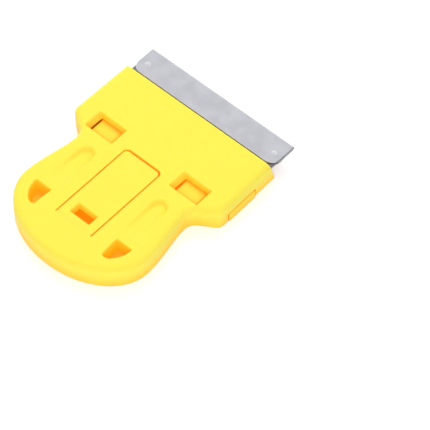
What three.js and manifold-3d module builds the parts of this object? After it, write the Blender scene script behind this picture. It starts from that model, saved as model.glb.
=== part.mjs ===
// A small moulded scraper that holds one single-edge blade, shown with the blade turned
// round for safe keeping: folded spine outside, ground edge inside the head.
// Millimetres, +Z up, +Y towards the blade. The pieces are laid out from the front edge of
// the top face (y = 0) and the underside (z = 0); the last group centres them on the origin.
import * as THREE from "three";
import { mergeVertices } from "three/addons/utils/BufferGeometryUtils.js";
import Module from "manifold-3d";

// Holder: plan
const HEAD_FRONT_WIDTH = 39.9;
const HEAD_REAR_WIDTH = 40.3;
const HEAD_CORNER_DEPTH = 14.4;
const HEAD_CORNER_RADIUS = 1.8;
const FRONT_CORNER_RADIUS = 0.5;
const WAIST_WIDTH = 29.9;
const WAIST_DEPTH = 20.3;
const WAIST_RADIUS = 2.8;
const HANDLE_WIDTH = 33.4;
const HANDLE_DEPTH = 33.2;
const BODY_LENGTH = 44.8;
const SIDE_EASE_FRONT = 3.3;
const SIDE_EASE_REAR = 4.7;

// Holder: heights, walls and edges
const BODY_HEIGHT = 5.6;
const PLATE = 1.5;
const SKIRT_WALL = 1.3;
const TOP_ROUND = 1.6;
const RIM_ROUND = 0.4;
const FRONT_REACH = 1.6;
const FIT = 0.3;

// Slot for the blade, open at the front
const SLOT_WIDTH = 39.1;
const SLOT_DEPTH = 11.8;
const BED_TOP = 2.4;
const STOP_WALL = 1.1;

// Base plate and the ears that close the notches in the head's sides
const FLOOR = 1.4;
const EAR_FRONT = 4.9;
const EAR_REAR = 12.8;
const EAR_TOP = 2.3;
const EAR_PROUD = 0.15;

// Snap windows in the top face, their hooks and their ledges
const WINDOW_OFFSET = 11.57;
const WINDOW_WIDTH = 7.7;
const WINDOW_FRONT = 12.5;
const WINDOW_LENGTH = 4.65;
const WINDOW_END_SLOPE = 0.95;
const WINDOW_WALL_SLOPE = 0.45;
const HOOK_SIDE_GAP = 0.15;
const HOOK_POST = 2.55;
const HOOK_NOSE = 1.2;
const HOOK_TOP = 3.9;
const NOSE_HEIGHT = 0.8;
const NOSE_LEAD = 0.5;
const LEDGE_HEIGHT = 0.8;
const LEDGE_RIB = 1.1;

// Sprung thumb tongue, cut out of the top face on three sides
const TONGUE_WIDTH = 9.2;
const TONGUE_TIP = 16.2;
const TONGUE_ROOT = 36.4;
const TONGUE_TIP_GAP = 0.45;
const TONGUE_CORNER = 0.9;
const TONGUE_WINDOW_WIDTH = 5.3;
const TONGUE_WINDOW_FRONT = 32.1;
const TONGUE_WINDOW_LENGTH = 2.8;
const TONGUE_WINDOW_SLOPE = 0.5;

// Finger grooves and the shield-shaped pockets behind them
const GROOVE_OFFSET = 9.9;
const GROOVE_FRONT = 20.3;
const GROOVE_LENGTH = 12.6;
const GROOVE_WIDTH = 3.6;
const GROOVE_SLOPE = 0.6;
const GROOVE_SINK = 0.6;
const GROOVE_TURN = 2;
const POCKET_INNER = 8.9;
const POCKET_OUTER = 13.1;
const POCKET_FRONT = 33.5;
const POCKET_REAR = 38.8;
const POCKET_TIP = 9.8;
const POCKET_BULGE = 1.1;
const POCKET_FLOOR = 1.1;
const POCKET_WALL = 1;
const POCKET_SLOPE = 0.7;

// Blade with its folded spine
const SPINE_LENGTH = 38.8;
const SPINE_OUT = 8;
const SPINE_LEG = 6.8;
const SPINE_SHEET = 0.42;
const SPINE_CORNER = 2.2;
const BLADE_LENGTH = 38.6;
const BLADE_WIDTH = 18.5;
const BLADE_SHEET = 0.23;
const BLADE_LEVEL = 3.28;
const BLADE_NIP = 0.04;
const EDGE_BEVEL = 1.2;
const EDGE_LAND = 0.03;
const DIMPLE_OFFSET = 17.4;
const DIMPLE_FROM_FOLD = 4;
const DIMPLE_RADIUS = 0.9;
const DIMPLE_SINK = 0.2;

// Fineness of curves, and how far a cutter runs past the solid it cuts
const ARC_STEPS = 7;
const ROUND_STEPS = 4;
const SPHERE_STEPS = 20;
const PAST = 3;

const plateUnderside = BODY_HEIGHT - PLATE;
const frontSlope = FRONT_REACH / BODY_HEIGHT;
const hookOpening = WINDOW_WIDTH - 2 * WINDOW_END_SLOPE;
const stopRear = -SLOT_DEPTH - STOP_WALL;
const postRear = stopRear - HOOK_POST;
const sides = { left: -1, right: 1 };

const wasm = await Module();
wasm.setup();

/** A closed three.js geometry as a solid that can be joined and cut. */
function solidOf(geometry) {
  const bare = geometry.clone();
  bare.deleteAttribute("normal");
  bare.deleteAttribute("uv");
  const merged = mergeVertices(bare, 1e-4);
  const corners = [...merged.index.array];
  const triangles = [];
  for (let i = 0; i < corners.length; i += 3) {
    const [a, b, c] = corners.slice(i, i + 3);
    if (a !== b && b !== c && c !== a) triangles.push(a, b, c);
  }
  return new wasm.Manifold(
    new wasm.Mesh({
      numProp: 3,
      vertProperties: merged.attributes.position.array,
      triVerts: new Uint32Array(triangles),
    }),
  );
}

/** A finished solid as a named mesh. */
function meshOf(name, solid, material) {
  const { vertProperties, triVerts } = solid.getMesh();
  const geometry = new THREE.BufferGeometry();
  geometry.setAttribute("position", new THREE.BufferAttribute(vertProperties, 3));
  geometry.setIndex(new THREE.BufferAttribute(triVerts, 1));
  geometry.computeVertexNormals();
  const mesh = new THREE.Mesh(geometry, material);
  mesh.name = name;
  return mesh;
}

/** A plan shape raised from one height to another. */
function raise(shape, bottom, top) {
  const geometry = new THREE.ExtrudeGeometry(shape, { depth: top - bottom, bevelEnabled: false });
  return solidOf(geometry.translate(0, 0, bottom));
}

/** A side profile drawn in (y, z), run across x about a middle. */
function runAcross(profile, width, middle = 0) {
  const geometry = new THREE.ExtrudeGeometry(profile, { depth: width, bevelEnabled: false });
  geometry.translate(0, 0, -width / 2);
  const turn = new THREE.Matrix4().makeBasis(
    new THREE.Vector3(0, 1, 0),
    new THREE.Vector3(0, 0, 1),
    new THREE.Vector3(1, 0, 0),
  );
  return solidOf(geometry.applyMatrix4(turn).translate(middle, 0, 0));
}

/** A box between two opposite corners. */
function boxBetween(x0, x1, y0, y1, z0, z1) {
  const geometry = new THREE.BoxGeometry(x1 - x0, y1 - y0, z1 - z0);
  return solidOf(geometry.translate((x0 + x1) / 2, (y0 + y1) / 2, (z0 + z1) / 2));
}

/** A closed shape from a list of [x, y] pairs. */
function polygon(pairs) {
  return new THREE.Shape(pairs.map(([x, y]) => new THREE.Vector2(x, y)));
}

/** The solid between two outlines with the same number of points, one above the other. */
function loft(lower, bottom, upper, top) {
  const count = lower.length;
  const position = [];
  for (const p of lower) position.push(p.x, p.y, bottom);
  for (const p of upper) position.push(p.x, p.y, top);
  const index = [];
  for (const [a, b, c] of THREE.ShapeUtils.triangulateShape(lower, [])) index.push(a, c, b);
  for (const [a, b, c] of THREE.ShapeUtils.triangulateShape(upper, [])) {
    index.push(a + count, b + count, c + count);
  }
  for (let i = 0; i < count; i++) {
    const next = (i + 1) % count;
    index.push(i, next, next + count, i, next + count, i + count);
  }
  const geometry = new THREE.BufferGeometry();
  geometry.setAttribute("position", new THREE.Float32BufferAttribute(position, 3));
  geometry.setIndex(index);
  return solidOf(geometry);
}

/** Points of a rectangle, counter-clockwise. */
function rectangle(x0, x1, y0, y1) {
  const pairs = [[x0, y0], [x1, y0], [x1, y1], [x0, y1]];
  return pairs.map(([x, y]) => new THREE.Vector2(x, y));
}

/** The holder's plan, drawn a distance inside its outside and run out to a chosen front. */
function planShape(inset, front) {
  const corner = new THREE.Vector2(HEAD_REAR_WIDTH / 2 - HEAD_CORNER_RADIUS, -HEAD_CORNER_DEPTH);
  const fillet = new THREE.Vector2(WAIST_WIDTH / 2 + WAIST_RADIUS, -WAIST_DEPTH);
  const between = fillet.clone().sub(corner);
  const reach = (HEAD_CORNER_RADIUS + WAIST_RADIUS) / between.length();
  const shoulder = Math.atan2(between.y, between.x) + Math.acos(reach);
  const side = new THREE.Vector2(HEAD_FRONT_WIDTH / 2 - inset, 0).sub(corner);
  const sideTurn = Math.atan2(side.y, side.x) - Math.acos((HEAD_CORNER_RADIUS - inset) / side.length());
  const waist = WAIST_WIDTH / 2 - inset;
  const handle = HANDLE_WIDTH / 2 - inset;
  const half = new THREE.Path();
  half.moveTo(0, front);
  half.lineTo(HEAD_FRONT_WIDTH / 2 - inset, front);
  half.lineTo(HEAD_FRONT_WIDTH / 2 - inset, 0);
  half.absarc(corner.x, corner.y, HEAD_CORNER_RADIUS - inset, sideTurn, shoulder, true);
  half.absarc(fillet.x, fillet.y, WAIST_RADIUS + inset, shoulder + Math.PI, Math.PI, false);
  half.bezierCurveTo(
    waist, -WAIST_DEPTH - SIDE_EASE_FRONT,
    handle, -HANDLE_DEPTH + SIDE_EASE_REAR,
    handle, -HANDLE_DEPTH,
  );
  const rear = BODY_LENGTH - HANDLE_DEPTH - inset;
  half.absellipse(0, -HANDLE_DEPTH, handle, rear, 0, -Math.PI / 2, true);
  const right = half.getPoints(ARC_STEPS).filter((p, i, all) => !i || p.distanceTo(all[i - 1]) > 1e-3);
  const left = right.slice(1, -1).reverse().map((p) => new THREE.Vector2(-p.x, p.y));
  return new THREE.Shape([...right, ...left]);
}

/** The space in front of the holder's leaning front face. */
function frontSpace() {
  const far = SPINE_OUT + PAST;
  return runAcross(
    polygon([
      [-frontSlope * PAST, BODY_HEIGHT + PAST],
      [FRONT_REACH + frontSlope * PAST, -PAST],
      [far, -PAST],
      [far, BODY_HEIGHT + PAST],
    ]),
    HEAD_REAR_WIDTH + 2 * PAST,
  );
}

/** What rounds the two front corners of shell and base off in plan, leaning with the front face. */
function frontCorners() {
  const lean = new THREE.Matrix4().set(
    1, 0, 0, 0,
    0, 1, -frontSlope, FRONT_REACH,
    0, 0, 1, 0,
    0, 0, 0, 1,
  );
  const cutters = Object.values(sides).map((side) => {
    const r = FRONT_CORNER_RADIUS;
    const edge = HEAD_FRONT_WIDTH / 2;
    const shape = new THREE.Shape();
    shape.moveTo(edge - r, 0);
    shape.absarc(edge - r, -r, r, Math.PI / 2, 0, true);
    shape.lineTo(edge + PAST, -r);
    shape.lineTo(edge + PAST, PAST);
    shape.lineTo(edge - r, PAST);
    const points = shape.getPoints(ARC_STEPS).map((p) => new THREE.Vector2(side * p.x, p.y));
    const geometry = new THREE.ExtrudeGeometry(new THREE.Shape(points), {
      depth: BODY_HEIGHT + 2 * PAST,
      bevelEnabled: false,
    });
    return solidOf(geometry.translate(0, 0, -PAST).applyMatrix4(lean));
  });
  return cutters[0].add(cutters[1]);
}

/** The holder's outside: rounded over along the top, eased along the bottom rim. */
function holderBlock() {
  const plan = planShape(0, FRONT_REACH + PAST);
  const rounded = (radius, depth, bottom) => {
    const geometry = new THREE.ExtrudeGeometry(plan, {
      depth,
      bevelThickness: radius,
      bevelSize: radius,
      bevelOffset: -radius,
      bevelSegments: ROUND_STEPS,
    });
    return solidOf(geometry.translate(0, 0, bottom + radius));
  };
  const top = rounded(TOP_ROUND, BODY_HEIGHT, -2 * TOP_ROUND);
  const bottom = rounded(RIM_ROUND, BODY_HEIGHT, 0);
  return top.intersect(bottom).subtract(frontSpace()).subtract(frontCorners());
}

/** Outline of one shield-shaped pocket, grown outwards by a margin. */
function pocketOutline(side, grow) {
  const inner = POCKET_INNER - grow;
  const outer = POCKET_OUTER + grow;
  const front = -POCKET_FRONT + grow;
  const rear = -POCKET_REAR - grow;
  const shape = new THREE.Shape();
  shape.moveTo(inner, front);
  shape.lineTo(outer, front);
  shape.quadraticCurveTo(outer, rear + 2 * POCKET_BULGE, POCKET_TIP + POCKET_BULGE, rear + POCKET_BULGE / 2);
  shape.quadraticCurveTo(POCKET_TIP, rear, inner + POCKET_BULGE / 4, rear + POCKET_BULGE / 2);
  shape.lineTo(inner, front);
  const points = shape.getPoints(ARC_STEPS).filter((p, i, all) => !i || p.distanceTo(all[i - 1]) > 1e-3);
  points.pop();
  const placed = points.map((p) => new THREE.Vector2(side * p.x, p.y));
  return side > 0 ? placed.reverse() : placed;
}

/** The hollow of one pocket, narrowing to its floor. */
function pocketHollow(side) {
  const floor = FLOOR + FIT + POCKET_FLOOR;
  const rise = (PAST * POCKET_SLOPE) / (BODY_HEIGHT - floor);
  return loft(
    pocketOutline(side, -POCKET_SLOPE), floor,
    pocketOutline(side, rise), BODY_HEIGHT + PAST,
  );
}

/** The cup that carries one pocket's walls and floor below the top face. */
function pocketCup(side) {
  return raise(
    new THREE.Shape(pocketOutline(side, POCKET_WALL - POCKET_SLOPE)),
    FLOOR + FIT,
    plateUnderside + PLATE / 2,
  );
}

/** A rectangular opening through the top face whose walls close in towards the bottom. */
function slopedOpening(middle, width, front, length, endSlope, wallSlope) {
  const outline = (share) => rectangle(
    middle - width / 2 + endSlope * share,
    middle + width / 2 - endSlope * share,
    -front - length + wallSlope * share,
    -front - wallSlope * share,
  );
  const deep = 1 + PAST / PLATE;
  return loft(outline(1), plateUnderside - PAST, outline(1), plateUnderside + PAST / 100)
    .add(loft(outline(1), plateUnderside, outline(1 - deep), BODY_HEIGHT + PAST));
}

/** One long finger groove: deepest at its round front end, running out towards the pocket. */
function grooveCutter(side) {
  const outline = (half) => {
    const shape = new THREE.Shape();
    shape.moveTo(-half, -PAST);
    shape.lineTo(half, -PAST);
    shape.absarc(0, GROOVE_LENGTH - GROOVE_WIDTH / 2, half, 0, Math.PI, false);
    return shape.getPoints(2 * ARC_STEPS).filter((p, i, all) => !i || p.distanceTo(all[i - 1]) > 1e-3);
  };
  const floorHalf = GROOVE_WIDTH / 2 - GROOVE_SLOPE;
  const tilt = THREE.MathUtils.radToDeg(Math.asin(GROOVE_SINK / GROOVE_LENGTH));
  const drift = GROOVE_LENGTH * Math.sin(THREE.MathUtils.degToRad(GROOVE_TURN));
  return loft(outline(floorHalf), 0, outline(floorHalf + (GROOVE_SLOPE * PAST) / GROOVE_SINK), PAST)
    .rotate([-tilt, 0, side * GROOVE_TURN])
    .translate([side * (GROOVE_OFFSET + drift), -GROOVE_FRONT - GROOVE_LENGTH, BODY_HEIGHT]);
}

/** The ledge behind one window that its hook catches on, hung from the top face by a rib. */
function snapLedge(side) {
  const rear = -WINDOW_FRONT - WINDOW_LENGTH;
  const noseBottom = HOOK_TOP - NOSE_HEIGHT;
  const profile = polygon([
    [rear - LEDGE_RIB, noseBottom - FIT - LEDGE_HEIGHT],
    [postRear - FIT, noseBottom - FIT - LEDGE_HEIGHT],
    [postRear - FIT, noseBottom - FIT],
    [rear, noseBottom - FIT],
    [rear, plateUnderside + PLATE / 2],
    [rear - LEDGE_RIB, plateUnderside + PLATE / 2],
  ]);
  return runAcross(profile, hookOpening, side * WINDOW_OFFSET);
}

/** The moulded top: plate, skirt, windows, grooves and pockets. */
function topShell() {
  const slotHalf = SLOT_WIDTH / 2;
  const slotRear = stopRear - FIT;
  let shell = holderBlock();
  shell = shell.subtract(raise(planShape(SKIRT_WALL, FRONT_REACH + PAST), -PAST, plateUnderside));
  shell = shell.subtract(
    boxBetween(-slotHalf, slotHalf, slotRear, FRONT_REACH + PAST, -PAST, plateUnderside),
  );
  for (const side of Object.values(sides)) {
    const [x0, x1] = [side * (slotHalf - PAST), side * (HEAD_REAR_WIDTH / 2 + PAST)].sort((a, b) => a - b);
    shell = shell
      .add(pocketCup(side))
      .subtract(pocketHollow(side))
      .subtract(slopedOpening(
        side * WINDOW_OFFSET, WINDOW_WIDTH, WINDOW_FRONT, WINDOW_LENGTH,
        WINDOW_END_SLOPE, WINDOW_WALL_SLOPE,
      ))
      .add(snapLedge(side))
      .subtract(grooveCutter(side))
      .subtract(boxBetween(x0, x1, -EAR_REAR - FIT, -EAR_FRONT + FIT, -PAST, EAR_TOP + FIT));
  }
  const opening = raise(tongueShape(FIT, TONGUE_TIP_GAP), plateUnderside - PAST / 2, BODY_HEIGHT + PAST);
  return shell.subtract(opening.translate([0, -TONGUE_ROOT, 0]));
}

/** The tongue's outline from its root line, grown at the root and sides and at the tip. */
function tongueShape(grow, tipGrow) {
  const half = TONGUE_WIDTH / 2 + grow;
  const tip = TONGUE_ROOT - TONGUE_TIP + tipGrow;
  const r = TONGUE_CORNER + grow;
  const shape = new THREE.Shape();
  shape.moveTo(-half, -grow);
  shape.lineTo(half, -grow);
  shape.lineTo(half, tip - r);
  shape.absarc(half - r, tip - r, r, 0, Math.PI / 2, false);
  shape.absarc(-half + r, tip - r, r, Math.PI / 2, Math.PI, false);
  return shape;
}

/** The tongue, drawn about its root line so that it turns there. */
function thumbTongue() {
  const window = slopedOpening(
    0, TONGUE_WINDOW_WIDTH, TONGUE_WINDOW_FRONT, TONGUE_WINDOW_LENGTH,
    TONGUE_WINDOW_SLOPE, TONGUE_WINDOW_SLOPE,
  ).translate([0, TONGUE_ROOT, -plateUnderside - PLATE / 2]);
  return raise(tongueShape(0, 0), -PLATE / 2, PLATE / 2).subtract(window);
}

/** One snap hook of the base, grown out of the stop wall, with its nose turned to the rear. */
function snapHook(side) {
  const front = stopRear + STOP_WALL / 2;
  const noseBottom = HOOK_TOP - NOSE_HEIGHT;
  const profile = polygon([
    [front, FLOOR / 2],
    [front, HOOK_TOP],
    [postRear - HOOK_NOSE + NOSE_LEAD, HOOK_TOP],
    [postRear - HOOK_NOSE, HOOK_TOP - NOSE_LEAD],
    [postRear - HOOK_NOSE, noseBottom],
    [postRear, noseBottom],
    [postRear, FLOOR / 2],
  ]);
  return runAcross(profile, hookOpening - 2 * HOOK_SIDE_GAP, side * WINDOW_OFFSET);
}

/** The base: floor under the handle, bed under the blade, stop wall, hooks and ears. */
function basePlate() {
  const bedHalf = SLOT_WIDTH / 2 - FIT;
  let base = raise(planShape(SKIRT_WALL + FIT, 0), 0, FLOOR)
    .add(boxBetween(-bedHalf, bedHalf, stopRear, FRONT_REACH + PAST, 0, BED_TOP))
    .add(boxBetween(-bedHalf, bedHalf, stopRear, -SLOT_DEPTH, 0, plateUnderside - FIT));
  const skin = raise(planShape(-EAR_PROUD, 0), 0, EAR_TOP);
  for (const side of Object.values(sides)) {
    const [x0, x1] = [side * (bedHalf - PAST), side * (HEAD_REAR_WIDTH / 2 + PAST)].sort((a, b) => a - b);
    base = base
      .add(snapHook(side))
      .add(skin.intersect(boxBetween(x0, x1, -EAR_REAR, -EAR_FRONT, -PAST, EAR_TOP + PAST)));
  }
  return base.subtract(frontSpace()).subtract(frontCorners());
}

/** The blade, drawn from the fold of its spine (y = 0) back to its ground edge. */
function razorBlade() {
  const thick = BLADE_SHEET / 2;
  const land = EDGE_LAND / 2;
  const back = -SPINE_SHEET - BLADE_NIP;
  const edge = back - BLADE_WIDTH;
  return runAcross(
    polygon([
      [back, -thick],
      [back, thick],
      [edge + EDGE_BEVEL, thick],
      [edge, land],
      [edge, -land],
      [edge + EDGE_BEVEL, -thick],
    ]),
    BLADE_LENGTH,
  );
}

/** The folded spine: a bent strip with rounded leg corners and crimping dimples. */
function bladeSpine() {
  const gap = BLADE_SHEET / 2 + BLADE_NIP;
  const outer = gap + SPINE_SHEET;
  const bend = -outer;
  const shape = new THREE.Shape();
  shape.moveTo(-SPINE_LEG, -outer);
  shape.lineTo(bend, -outer);
  shape.absarc(bend, 0, outer, -Math.PI / 2, Math.PI / 2, false);
  shape.lineTo(-SPINE_LEG, outer);
  shape.lineTo(-SPINE_LEG, gap);
  shape.lineTo(bend, gap);
  shape.absarc(bend, 0, gap, Math.PI / 2, -Math.PI / 2, true);
  shape.lineTo(-SPINE_LEG, -gap);
  let spine = runAcross(shape, SPINE_LENGTH);
  for (const side of Object.values(sides)) {
    const edge = SPINE_LENGTH / 2;
    const r = SPINE_CORNER;
    const corner = new THREE.Shape();
    corner.moveTo(side * edge, -SPINE_LEG + r);
    corner.absarc(side * (edge - r), -SPINE_LEG + r, r, side > 0 ? 0 : Math.PI, -Math.PI / 2, side > 0);
    corner.lineTo(side * (edge - r), -SPINE_LEG - PAST);
    corner.lineTo(side * (edge + PAST), -SPINE_LEG - PAST);
    corner.lineTo(side * (edge + PAST), -SPINE_LEG + r);
    spine = spine.subtract(raise(corner, -PAST, PAST));
    for (const face of [-1, 1]) {
      const ball = new THREE.SphereGeometry(DIMPLE_RADIUS, SPHERE_STEPS, SPHERE_STEPS / 2);
      ball.translate(
        side * DIMPLE_OFFSET,
        -DIMPLE_FROM_FOLD,
        face * (outer + DIMPLE_RADIUS - DIMPLE_SINK),
      );
      spine = spine.subtract(solidOf(ball));
    }
  }
  return spine;
}

const plastic = new THREE.MeshStandardMaterial({ color: 0xfff05a, roughness: 0.38, metalness: 0 });
const spineSteel = new THREE.MeshStandardMaterial({ color: 0xcfd0d6, roughness: 0.35, metalness: 1 });
const bladeSteel = new THREE.MeshStandardMaterial({ color: 0x9a9ba0, roughness: 0.25, metalness: 1 });

const tongue = new THREE.Group();
tongue.position.set(0, -TONGUE_ROOT, plateUnderside + PLATE / 2);
tongue.add(meshOf("thumb_tongue", thumbTongue(), plastic));

const holder = new THREE.Group();
holder.add(meshOf("top_shell", topShell(), plastic));
holder.add(meshOf("base_plate", basePlate(), plastic));
holder.add(tongue);

const blade = new THREE.Group();
blade.position.set(0, SPINE_OUT, BLADE_LEVEL);
blade.add(meshOf("razor_blade", razorBlade(), bladeSteel));
blade.add(meshOf("blade_spine", bladeSpine(), spineSteel));

const scraper = new THREE.Group();
scraper.position.y = (BODY_LENGTH - SPINE_OUT) / 2;
scraper.add(holder, blade);

const scene = new THREE.Group();
scene.add(scraper);

export default scene;
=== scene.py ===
"""Dresses the small blade scraper: soft moulded plastic, rolled steel spine, ground blade, studio light."""
import logging
import math
from collections.abc import Callable
from dataclasses import dataclass, field
from enum import Enum, IntEnum

import bmesh
import bpy
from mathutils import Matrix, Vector

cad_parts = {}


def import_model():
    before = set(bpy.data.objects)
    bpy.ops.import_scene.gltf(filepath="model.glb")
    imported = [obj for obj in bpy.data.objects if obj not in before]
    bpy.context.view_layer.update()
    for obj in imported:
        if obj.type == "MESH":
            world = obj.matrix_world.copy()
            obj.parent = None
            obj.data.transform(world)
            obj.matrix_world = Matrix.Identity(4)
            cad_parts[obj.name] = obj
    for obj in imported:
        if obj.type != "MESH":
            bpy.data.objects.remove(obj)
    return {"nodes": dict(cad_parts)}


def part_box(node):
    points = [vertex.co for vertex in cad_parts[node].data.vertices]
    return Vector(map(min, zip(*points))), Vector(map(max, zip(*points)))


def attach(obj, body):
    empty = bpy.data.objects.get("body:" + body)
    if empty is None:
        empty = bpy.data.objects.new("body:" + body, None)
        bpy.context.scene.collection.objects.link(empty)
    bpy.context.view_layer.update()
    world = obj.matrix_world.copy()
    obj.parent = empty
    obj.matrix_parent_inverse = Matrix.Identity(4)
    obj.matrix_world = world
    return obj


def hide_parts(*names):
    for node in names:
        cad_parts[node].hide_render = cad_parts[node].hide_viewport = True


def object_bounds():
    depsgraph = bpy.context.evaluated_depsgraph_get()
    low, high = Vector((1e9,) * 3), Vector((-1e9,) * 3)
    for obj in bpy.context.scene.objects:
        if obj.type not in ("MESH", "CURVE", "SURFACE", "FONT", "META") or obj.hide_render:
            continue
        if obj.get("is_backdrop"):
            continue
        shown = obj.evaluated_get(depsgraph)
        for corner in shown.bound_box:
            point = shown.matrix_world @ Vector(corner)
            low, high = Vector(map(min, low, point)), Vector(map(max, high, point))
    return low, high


log = logging.getLogger("scraper")

MM = 0.001
PICTURE_SIDE = 430
SIDES = (-1, 1)

Colour = tuple[float, float, float, float]
Point = tuple[float, float, float]
Range = tuple[float, float]
Socket = bpy.types.NodeSocket


class Slot(Enum):
    """Names of material slots; nothing in this script uses them."""

    PLASTIC = "holder_plastic"
    SPINE = "spine_steel"


class Body(Enum):
    """Bodies that pieces ride on."""

    HOLDER = "holder"
    TONGUE = "tongue"
    BLADE = "blade"


class SpineFace(IntEnum):
    """Places in the spine's list of materials of its rolled finish, its painted highlight and its sheared
    ends with painted shade.
    """

    ROLLED = 0
    PAINTED_HIGHLIGHT = 1
    SHEARED_AND_SHADED = 2


class MixSocket(IntEnum):
    """Places of the colour sockets on a mix node."""

    SHARE = 0
    RESULT = 2
    LOW = 6
    HIGH = 7


class Nodes:
    """Builds a node tree with short calls."""

    def __init__(self, owner: bpy.types.Material | bpy.types.World, output: str) -> None:
        """Starts from an empty tree with an output.

        Args:
            owner: the material or world whose tree is built.
            output: Blender's name for the output's node type.
        """
        owner.use_nodes = True
        self.tree = owner.node_tree
        self.tree.nodes.clear()
        self.output = self.add(output)

    def add(self, kind: str, **settings: object) -> bpy.types.Node:
        """Adds one node.

        Args:
            kind: Blender's name for the node type.
            settings: attributes to set on it.

        Returns:
            The new node.
        """
        node = self.tree.nodes.new(kind)
        for name, value in settings.items():
            setattr(node, name, value)
        return node

    def link(self, source: Socket, target: Socket) -> None:
        """Joins two sockets."""
        self.tree.links.new(source, target)

    def noise(self, vector: Socket, scale: float, detail: float) -> Socket:
        """Adds a noise texture.

        Args:
            vector: where the noise is read.
            scale: noise cells per metre.
            detail: octaves of finer noise.

        Returns:
            The noise value.
        """
        texture = self.add("ShaderNodeTexNoise")
        texture.inputs["Scale"].default_value = scale
        texture.inputs["Detail"].default_value = detail
        self.link(vector, texture.inputs["Vector"])
        return texture.outputs["Fac"]

    def span(self, value: Socket, source: Range, target: Range) -> Socket:
        """Maps one range of numbers smoothly onto another.

        Args:
            value: the number to map.
            source: its range.
            target: the range that comes out.

        Returns:
            The mapped number.
        """
        node = self.add("ShaderNodeMapRange", interpolation_type="SMOOTHSTEP")
        node.inputs["From Min"].default_value, node.inputs["From Max"].default_value = source
        node.inputs["To Min"].default_value, node.inputs["To Max"].default_value = target
        self.link(value, node.inputs["Value"])
        return node.outputs["Result"]

    def mix(self, share: Socket, low: Colour, high: Colour) -> Socket:
        """Mixes two colours.

        Args:
            share: how much of the second colour there is.
            low: the first colour.
            high: the second colour.

        Returns:
            The mixed colour.
        """
        node = self.add("ShaderNodeMix", data_type="RGBA")
        node.inputs[MixSocket.LOW].default_value = low
        node.inputs[MixSocket.HIGH].default_value = high
        self.link(share, node.inputs[MixSocket.SHARE])
        return node.outputs[MixSocket.RESULT]

    def combine(self, operation: str, first: Socket, second: Socket) -> Socket:
        """Works out one number from two.

        Args:
            operation: Blender's name for the sum, such as MULTIPLY.
            first: the first number.
            second: the second number.

        Returns:
            The result.
        """
        node = self.add("ShaderNodeMath", operation=operation)
        self.link(first, node.inputs[0])
        self.link(second, node.inputs[1])
        return node.outputs[0]

    def bump(self, height: Socket, strength: float, distance: float) -> Socket:
        """Turns a height into a normal.

        Args:
            height: the height field.
            strength: share of the effect.
            distance: height of a full step in metres.

        Returns:
            The bent normal.
        """
        node = self.add("ShaderNodeBump")
        node.inputs["Strength"].default_value = strength
        node.inputs["Distance"].default_value = distance
        self.link(height, node.inputs["Height"])
        return node.outputs["Normal"]


def material_nodes(name: str) -> tuple[bpy.types.Material, Nodes, bpy.types.Node]:
    """Starts a material whose surface is one principled shader.

    Args:
        name: the material's name.

    Returns:
        The material, its nodes and the shader.
    """
    material = bpy.data.materials.new(name)
    nodes = Nodes(material, "ShaderNodeOutputMaterial")
    shader = nodes.add("ShaderNodeBsdfPrincipled")
    nodes.link(shader.outputs["BSDF"], nodes.output.inputs["Surface"])
    return material, nodes, shader


@dataclass(frozen=True)
class MouldedPlastic:
    """Satin lemon plastic with painted shade and a painted glow in recesses: golden orange mixed into the
    base colour and orange emission where ambient occlusion finds shelter below the top face.
    """

    name: str = "lemon_plastic"
    open_face: Colour = (0.97, 0.8, 0.075, 1.0)
    # painted shade: golden orange mixed into the base colour where recesses and low walls are sheltered
    painted_recess_shade: Colour = (0.98, 0.45, 0.012, 1.0)
    painted_shade_reach: float = 5.0 * MM
    painted_shade_samples: int = 16
    painted_shade_occlusion_span: Range = (0.25, 0.97)
    painted_shade_height_span: Range = (4.9 * MM, 5.5 * MM)
    # painted glow: orange emission in sheltered recesses, standing in for light carried through the
    # translucent plastic
    painted_glow_colour: Colour = (1.0, 0.36, 0.004, 1.0)
    painted_glow_strength: float = 0.35
    painted_glow_occlusion_span: Range = (0.0, 0.3)
    roughness: Range = (0.37, 0.47)
    refraction: float = 1.49
    scatter: float = 0.4
    scatter_depth: Point = (1.0, 0.6, 0.1)
    scatter_scale: float = 0.8 * MM
    grain_scale: float = 2600.0
    grain_detail: float = 3.0
    grain_span: Range = (0.2, 0.8)
    grain_strength: float = 0.35
    grain_height: float = 0.012 * MM

    def make(self) -> bpy.types.Material:
        """Builds the material.

        Returns:
            The finished material.
        """
        material, nodes, shader = material_nodes(self.name)
        place = nodes.add("ShaderNodeTexCoord").outputs["Object"]
        # painted shade: ambient occlusion, limited to places below the top face, shifts the base colour
        # towards orange
        painted_shade_occlusion = nodes.add("ShaderNodeAmbientOcclusion", samples=self.painted_shade_samples)
        painted_shade_occlusion.inputs["Distance"].default_value = self.painted_shade_reach
        open_share = painted_shade_occlusion.outputs["AO"]
        split = nodes.add("ShaderNodeSeparateXYZ")
        nodes.link(place, split.inputs["Vector"])
        depth = nodes.span(split.outputs["Z"], self.painted_shade_height_span, (1.0, 0.0))
        painted_shade_share = nodes.combine("MULTIPLY", nodes.span(open_share, self.painted_shade_occlusion_span, (1.0, 0.0)), depth)
        nodes.link(nodes.mix(painted_shade_share, self.open_face, self.painted_recess_shade), shader.inputs["Base Color"])
        # painted glow: sheltered places emit orange light, though the plastic is no lamp
        painted_glow = nodes.span(open_share, self.painted_glow_occlusion_span, (0.0, self.painted_glow_strength))
        nodes.link(nodes.combine("MULTIPLY", painted_glow, painted_shade_share), shader.inputs["Emission Strength"])
        shader.inputs["Emission Color"].default_value = self.painted_glow_colour
        grain = nodes.noise(place, self.grain_scale, self.grain_detail)
        nodes.link(nodes.span(grain, self.grain_span, self.roughness), shader.inputs["Roughness"])
        nodes.link(nodes.bump(grain, self.grain_strength, self.grain_height), shader.inputs["Normal"])
        shader.inputs["Subsurface Weight"].default_value = self.scatter
        shader.inputs["Subsurface Radius"].default_value = self.scatter_depth
        shader.inputs["Subsurface Scale"].default_value = self.scatter_scale
        shader.inputs["IOR"].default_value = self.refraction
        return material


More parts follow.
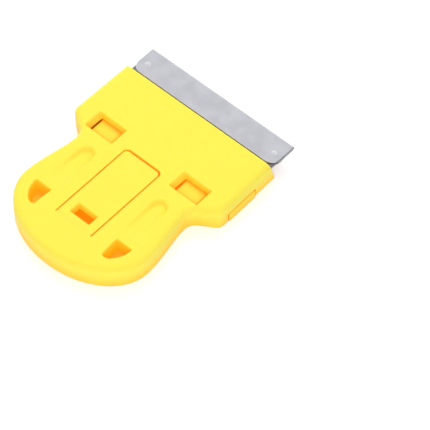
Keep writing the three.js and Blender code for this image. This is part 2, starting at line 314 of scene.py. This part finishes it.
@dataclass(frozen=True)
class RolledSteel:
    """Steel strip with soft patches and faint streaks along its length."""

    name: str
    dark: Colour
    light: Colour
    roughness: float
    roughness_spread: float = 0.08
    patch_scale: float = 320.0
    patch_detail: float = 2.0
    patch_span: Range = (0.3, 0.7)
    streaks_across: float = 5200.0
    streaks_along: float = 160.0
    streak_detail: float = 4.0
    streak_span: Range = (0.2, 0.8)
    streak_strength: float = 0.3
    streak_height: float = 0.004 * MM

    def make(self) -> bpy.types.Material:
        """Builds the material.

        Returns:
            The finished material.
        """
        material, nodes, shader = material_nodes(self.name)
        place = nodes.add("ShaderNodeTexCoord").outputs["Object"]
        stretch = nodes.add("ShaderNodeMapping")
        stretch.inputs["Scale"].default_value = (
            self.streaks_along, self.streaks_across, self.streaks_across,
        )
        nodes.link(place, stretch.inputs["Vector"])
        streaks = nodes.noise(stretch.outputs["Vector"], 1.0, self.streak_detail)
        patches = nodes.noise(place, self.patch_scale, self.patch_detail)
        patch_share = nodes.span(patches, self.patch_span, (0.0, 1.0))
        nodes.link(nodes.mix(patch_share, self.dark, self.light), shader.inputs["Base Color"])
        rough = (self.roughness - self.roughness_spread, self.roughness + self.roughness_spread)
        nodes.link(nodes.span(streaks, self.streak_span, rough), shader.inputs["Roughness"])
        nodes.link(nodes.bump(streaks, self.streak_strength, self.streak_height), shader.inputs["Normal"])
        shader.inputs["Metallic"].default_value = 1.0
        return material


SPINE_STRIP = RolledSteel(
    "spine_strip", dark=(0.69, 0.69, 0.745, 1.0), light=(0.77, 0.77, 0.83, 1.0), roughness=0.42
)
# painted highlight: near-white steel on faces that tilt up and away from the front, standing in for light
# caught by the rounded edge
PAINTED_HIGHLIGHT_EDGE = RolledSteel(
    "painted_highlight_edge", dark=(0.94, 0.94, 0.95, 1.0), light=(0.98, 0.98, 0.98, 1.0), roughness=0.3
)
# sheared cut ends, darkened further by painted shade that stands in for the dark surroundings they reflect
SHEARED_END_AND_SHADE = RolledSteel(
    "sheared_end_and_painted_shade", dark=(0.2, 0.2, 0.21, 1.0), light=(0.34, 0.34, 0.35, 1.0), roughness=0.55
)
# dark grey steel, darker than the spine partly as painted shade for the strip of blade that lies in shadow
# under the spine
SHADED_GROUND_BLADE = RolledSteel(
    "ground_blade_painted_dark", dark=(0.24, 0.24, 0.25, 1.0), light=(0.3, 0.3, 0.31, 1.0), roughness=0.26
)


@dataclass(frozen=True)
class StudioFloor:
    """Matt white card, lifted a little where the camera sees it."""

    name: str = "white_card"
    colour: Colour = (0.9, 0.9, 0.9, 1.0)
    roughness: float = 0.9
    lift: float = 0.4

    def make(self) -> bpy.types.Material:
        """Builds the material.

        Returns:
            The finished material.
        """
        material, nodes, shader = material_nodes(self.name)
        shader.inputs["Base Color"].default_value = self.colour
        shader.inputs["Roughness"].default_value = self.roughness
        shader.inputs["Emission Color"].default_value = self.colour
        seen = nodes.add("ShaderNodeLightPath").outputs["Is Camera Ray"]
        nodes.link(nodes.span(seen, (0.0, 1.0), (0.0, self.lift)), shader.inputs["Emission Strength"])
        return material


@dataclass
class Softener:
    """Turns faceted solids into one smooth mesh whose edges are eased as in a mould. Millimetres."""

    voxel: float
    passes: int
    strength: float = 0.5

    def soften(self, build: Callable[[bmesh.types.BMesh], None]) -> bpy.types.Mesh:
        """Fills a mesh with solids, remeshes it evenly and smooths it.

        Args:
            build: fills an empty bmesh with closed solids, in millimetres.

        Returns:
            The soft mesh, in millimetres.
        """
        work = bmesh.new()
        build(work)
        rough = bpy.data.meshes.new("rough")
        work.to_mesh(rough)
        work.free()
        maker = bpy.data.objects.new("maker", rough)
        bpy.context.scene.collection.objects.link(maker)
        remesh = maker.modifiers.new("even", "REMESH")
        remesh.mode = "VOXEL"
        remesh.voxel_size = self.voxel
        smooth = maker.modifiers.new("ease", "SMOOTH")
        smooth.factor = self.strength
        smooth.iterations = self.passes
        shaped = maker.evaluated_get(bpy.context.evaluated_depsgraph_get())
        mesh = bpy.data.meshes.new_from_object(shaped)
        bpy.data.objects.remove(maker)
        bpy.data.meshes.remove(rough)
        return mesh


def finished(name: str, mesh: bpy.types.Mesh) -> bpy.types.Object:
    """Brings a mesh in millimetres back to metres and links it, shaded smooth.

    Args:
        name: name of the new object.
        mesh: the mesh, in millimetres.

    Returns:
        The new object.
    """
    for vertex in mesh.vertices:
        vertex.co *= MM
    mesh.polygons.foreach_set("use_smooth", [True] * len(mesh.polygons))
    mesh.name = name
    made = bpy.data.objects.new(name, mesh)
    bpy.context.scene.collection.objects.link(made)
    return made


def add_node(work: bmesh.types.BMesh, node: bpy.types.Object) -> None:
    """Adds a CAD node's solid to a bmesh, in millimetres.

    Args:
        work: the bmesh.
        node: the CAD node, in metres.
    """
    first = len(work.verts)
    work.from_mesh(node.data)
    work.verts.ensure_lookup_table()
    for vertex in work.verts[first:]:
        vertex.co /= MM


def add_block(work: bmesh.types.BMesh, low: Vector, high: Vector) -> None:
    """Adds a plain block to a bmesh, in millimetres.

    Args:
        work: the bmesh.
        low: lowest corner.
        high: highest corner.
    """
    corners = bmesh.ops.create_cube(work, size=1.0)["verts"]
    for vertex in corners:
        vertex.co = Vector(
            (low[i] + high[i]) / 2 + vertex.co[i] * (high[i] - low[i]) for i in range(3)
        )


def dress(
    piece: bpy.types.Object, finish: bpy.types.Material, body: Body, node: str
) -> None:
    """Gives a piece its finish and its body, and hides the CAD node that it stands for.

    Args:
        piece: the new piece.
        finish: its material.
        body: the body that it rides on.
        node: the CAD node that it replaces.
    """
    piece.data.materials.clear()
    piece.data.materials.append(finish)
    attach(piece, body.value)
    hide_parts(node)


@dataclass(frozen=True)
class FingerGroove:
    """A soft trough in the top face, deepest at its round front end. Millimetres."""

    front: Range = (9.9, -1.9)
    rear: Range = (10.3, -14.5)
    half_width: float = 2.1
    wall: float = 1.0
    sink: float = 1.05

    def depth(self, x: float, y: float) -> float:
        """How far the top face sinks at a place.

        Args:
            x: distance from the middle plane, to either side.
            y: place along the holder.

        Returns:
            The depth, 0 outside the trough.
        """
        place = Vector((abs(x), y))
        start = Vector(self.front)
        axis = Vector(self.rear) - start
        along = (place - start).dot(axis) / axis.length
        reach = min(max(along, self.half_width), axis.length)
        middle = start + axis * (reach / axis.length)
        inside = (self.half_width - (place - middle).length) / self.wall
        inside = min(max(inside, 0.0), 1.0)
        fade = 1.0 - reach / axis.length
        return self.sink * fade * inside * inside * (3.0 - 2.0 * inside)


@dataclass
class MouldedTop:
    """The top shell with its thumb tongue: one moulding that bends at the tongue's root. Millimetres."""

    shell: bpy.types.Object
    tongue: bpy.types.Object
    overlap: float = 0.05
    root_gap: float = 0.3
    slit: float = 0.3
    tip_gap: float = 0.45
    tip_corner: float = 0.9
    groove: FingerGroove = field(default_factory=FingerGroove)
    groove_fill: float = 0.8
    cut_reach: float = 0.2
    cut_tolerance: float = 1e-5
    softener: Softener = field(default_factory=lambda: Softener(voxel=0.1, passes=6))
    low: Vector = field(init=False)
    high: Vector = field(init=False)

    def __post_init__(self) -> None:
        """Reads the tongue's box from the frame."""
        low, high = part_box("thumb_tongue")
        self.low = Vector(low) / MM
        self.high = Vector(high) / MM

    def fill(self, work: bmesh.types.BMesh) -> None:
        """Adds both solids, the neck that joins them and blocks that fill the grooves.

        Args:
            work: the empty bmesh.
        """
        add_node(work, self.shell)
        add_node(work, self.tongue)
        add_block(
            work,
            Vector((self.low.x, self.low.y - self.root_gap - self.overlap, self.low.z)),
            Vector((self.high.x, self.low.y + self.overlap, self.high.z)),
        )
        inner = self.groove.front[0] - self.groove.half_width
        outer = self.groove.rear[0] + self.groove.half_width
        for side in SIDES:
            left, right = sorted((side * inner, side * outer))
            add_block(
                work,
                Vector((left, self.groove.rear[1], self.high.z - self.groove_fill)),
                Vector((right, self.groove.front[1], self.high.z)),
            )

    def press_grooves(self, mesh: bpy.types.Mesh) -> None:
        """Sinks the finger grooves into the filled top face.

        Args:
            mesh: the whole moulding.
        """
        for vertex in mesh.vertices:
            if vertex.co.z > self.high.z - self.groove_fill / 2:
                vertex.co.z -= self.groove.depth(vertex.co.x, vertex.co.y)

    def in_tongue(self, point: Vector) -> bool:
        """Whether a point lies on the tongue's side of the middle of the slits and the tip gap.

        Args:
            point: a point of the moulding.

        Returns:
            True for the tongue, whose outline has round corners at its tip.
        """
        half = self.high.x + self.slit / 2
        tip = self.high.y + self.tip_gap / 2
        across = abs(point.x) < half
        along = self.low.y < point.y < tip
        if not (across and along and point.z > self.low.z - self.slit):
            return False
        radius = self.tip_corner + self.slit / 2
        past = Vector((abs(point.x) - half + radius, point.y - tip + radius))
        return min(past) < 0.0 or past.length < radius

    def near_root(self, point: Vector) -> bool:
        """Whether a point lies by the cut at the tongue's root.

        Args:
            point: a point of the moulding.

        Returns:
            True within reach of the cut.
        """
        across = abs(point.x) < self.high.x + self.slit / 2
        along = abs(point.y - self.low.y) < self.cut_reach
        return across and along and point.z > self.low.z - self.slit

    def split(self, mesh: bpy.types.Mesh, tongue: bool) -> None:
        """Keeps only the tongue, or only the rest, and closes the cut at the root.

        Args:
            mesh: the whole moulding.
            tongue: which part to keep.
        """
        work = bmesh.new()
        work.from_mesh(mesh)
        near = [face for face in work.faces if self.near_root(face.calc_center_median())]
        edges = list(dict.fromkeys(edge for face in near for edge in face.edges))
        corners = list(dict.fromkeys(corner for face in near for corner in face.verts))
        bmesh.ops.bisect_plane(
            work, geom=near + edges + corners, dist=self.cut_tolerance,
            plane_co=(0, self.low.y, 0), plane_no=(0, 1, 0),
        )
        unwanted = [face for face in work.faces if self.in_tongue(face.calc_center_median()) != tongue]
        bmesh.ops.delete(work, geom=unwanted, context="FACES")
        rim = [edge for edge in work.edges if edge.is_boundary]
        for cap in bmesh.ops.holes_fill(work, edges=rim, sides=0)["faces"]:
            for edge in cap.edges:
                edge.smooth = False
        work.to_mesh(mesh)
        work.free()

    def build(self, finish: bpy.types.Material) -> list[bpy.types.Object]:
        """Makes the shell and the tongue.

        Args:
            finish: the plastic.

        Returns:
            The shell and the tongue.
        """
        whole = self.softener.soften(self.fill)
        self.press_grooves(whole)
        part = whole.copy()
        self.split(whole, tongue=False)
        self.split(part, tongue=True)
        shell_piece = finished("moulded_shell", whole)
        tongue_piece = finished("moulded_tongue", part)
        dress(shell_piece, finish, Body.HOLDER, "top_shell")
        dress(tongue_piece, finish, Body.TONGUE, "thumb_tongue")
        return [shell_piece, tongue_piece]


@dataclass
class BasePlate:
    """The base with its bed, hooks and ears."""

    node: bpy.types.Object
    softener: Softener = field(default_factory=lambda: Softener(voxel=0.14, passes=5))

    def build(self, finish: bpy.types.Material) -> list[bpy.types.Object]:
        """Makes the base.

        Args:
            finish: the plastic.

        Returns:
            The base alone.
        """
        piece = finished("moulded_base", self.softener.soften(lambda work: add_node(work, self.node)))
        dress(piece, finish, Body.HOLDER, "base_plate")
        return [piece]


@dataclass
class SpinedBlade:
    """The blade and the folded strip that stiffens its back."""

    blade: bpy.types.Object
    spine: bpy.types.Object
    end_skin: float = 0.2 * MM
    end_facing: float = 0.8
    highlight_front_limit: float = 0.3
    highlight_rise_span: Range = (0.25, 0.97)
    softener: Softener = field(default_factory=lambda: Softener(voxel=0.07, passes=9))

    def face_finish(self, polygon: bpy.types.MeshPolygon, end: float) -> SpineFace:
        """Picks one face's material among rolled steel, the painted highlight and the sheared end with
        painted shade.

        Args:
            polygon: the face.
            end: distance from the middle plane where the cut ends begin, in metres.

        Returns:
            The finish.
        """
        low, high = self.highlight_rise_span
        # the cut ends take dark steel: a sheared finish and painted shade in place of a dark reflection
        if abs(polygon.center.x) > end and abs(polygon.normal.x) > self.end_facing:
            return SpineFace.SHEARED_AND_SHADED
        # painted highlight: faces tilted up and not towards the front take near-white steel
        if polygon.normal.y < self.highlight_front_limit and low < polygon.normal.z < high:
            return SpineFace.PAINTED_HIGHLIGHT
        return SpineFace.ROLLED

    def build(self) -> list[bpy.types.Object]:
        """Makes the spine and dresses the blade.

        Returns:
            The spine and the blade.
        """
        piece = finished("folded_spine", self.softener.soften(lambda work: add_node(work, self.spine)))
        dress(piece, SPINE_STRIP.make(), Body.BLADE, "blade_spine")
        for finish in (PAINTED_HIGHLIGHT_EDGE, SHEARED_END_AND_SHADE):
            piece.data.materials.append(finish.make())
        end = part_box("blade_spine")[1][0] - self.end_skin
        for polygon in piece.data.polygons:
            polygon.material_index = self.face_finish(polygon, end)
        self.blade.data.materials.clear()
        self.blade.data.materials.append(SHADED_GROUND_BLADE.make())
        return [piece, self.blade]


@dataclass(frozen=True)
class Lamp:
    """A soft panel that shines on the object."""

    name: str
    place: Point
    side: float
    power: float

    def hang(self, target: Vector) -> None:
        """Hangs the panel facing a target.

        Args:
            target: the point that it faces.
        """
        data = bpy.data.lights.new(self.name, "AREA")
        data.shape = "SQUARE"
        data.size = self.side
        data.energy = self.power
        lamp = bpy.data.objects.new(self.name, data)
        lamp.location = self.place
        lamp.visible_glossy = False
        lamp.rotation_euler = (target - Vector(self.place)).to_track_quat("-Z", "Y").to_euler()
        bpy.context.scene.collection.objects.link(lamp)


@dataclass
class Studio:
    """Floor, light and camera."""

    azimuth: float = 41.69
    elevation: float = 54.28
    distance: float = 0.4953
    target: Point = (19.64 * MM, 1.86 * MM, 5.6 * MM)
    focal_pixels: float = 2500.0
    sensor: float = 36.0
    clip: Range = (0.01, 20.0)
    floor_side: float = 3.0
    fill: float = 0.72
    lamps: tuple[Lamp, ...] = (
        Lamp("far_left_panel", (-0.35, 0.35, 0.5), 0.32, 3.0),
        Lamp("near_panel", (0.4, -0.45, 0.3), 0.45, 2.0),
    )

    def lay_floor(self, bottom: float) -> None:
        """Lays the floor under the object.

        Args:
            bottom: height of the object's underside.
        """
        work = bmesh.new()
        bmesh.ops.create_grid(work, x_segments=1, y_segments=1, size=self.floor_side / 2)
        mesh = bpy.data.meshes.new("floor")
        work.to_mesh(mesh)
        work.free()
        floor = bpy.data.objects.new("floor", mesh)
        floor.location.z = bottom
        mesh.materials.append(StudioFloor().make())
        bpy.context.scene.collection.objects.link(floor)
        floor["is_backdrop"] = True

    def light_world(self) -> None:
        """Makes a world that looks white to the eye and in gloss, and fills shade softly."""
        world = bpy.data.worlds.new("studio")
        nodes = Nodes(world, "ShaderNodeOutputWorld")
        path = nodes.add("ShaderNodeLightPath").outputs
        seen = nodes.combine("MAXIMUM", path["Is Camera Ray"], path["Is Glossy Ray"])
        clear = nodes.combine("MAXIMUM", seen, path["Is Transmission Ray"])
        sky = nodes.add("ShaderNodeBackground")
        nodes.link(nodes.span(clear, (0.0, 1.0), (self.fill, 1.0)), sky.inputs["Strength"])
        nodes.link(sky.outputs["Background"], nodes.output.inputs["Surface"])
        bpy.context.scene.world = world

    def set_camera(self) -> None:
        """Sets the camera at the photograph's angle."""
        data = bpy.data.cameras.new("camera")
        data.sensor_width = self.sensor
        data.lens = self.sensor * self.focal_pixels / PICTURE_SIDE
        data.clip_start, data.clip_end = self.clip
        camera = bpy.data.objects.new("camera", data)
        around = math.radians(self.azimuth)
        up = math.radians(self.elevation)
        away = Vector((math.sin(around) * math.cos(up), -math.cos(around) * math.cos(up), math.sin(up)))
        camera.location = Vector(self.target) + away * self.distance
        camera.rotation_euler = (-away).to_track_quat("-Z", "Y").to_euler()
        bpy.context.scene.collection.objects.link(camera)
        bpy.context.scene.camera = camera

    def build(self, bottom: float) -> None:
        """Sets floor, light and camera.

        Args:
            bottom: height of the object's underside.
        """
        self.lay_floor(bottom)
        self.light_world()
        for lamp in self.lamps:
            lamp.hang(Vector((0, 0, 0)))
        self.set_camera()
        bpy.context.scene.view_settings.view_transform = "Standard"


def main() -> None:
    """Builds the pieces in order."""
    logging.basicConfig(level=logging.INFO)
    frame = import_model()
    cad_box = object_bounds()
    nodes = frame["nodes"]
    plastic = MouldedPlastic().make()
    pieces = MouldedTop(nodes["top_shell"], nodes["thumb_tongue"]).build(plastic)
    pieces += BasePlate(nodes["base_plate"]).build(plastic)
    pieces += SpinedBlade(nodes["razor_blade"], nodes["blade_spine"]).build()
    for piece in pieces:
        log.info("built %s with %d faces", piece.name, len(piece.data.polygons))
    Studio().build(cad_box[0][2])


if __name__ == "__main__":
    main()
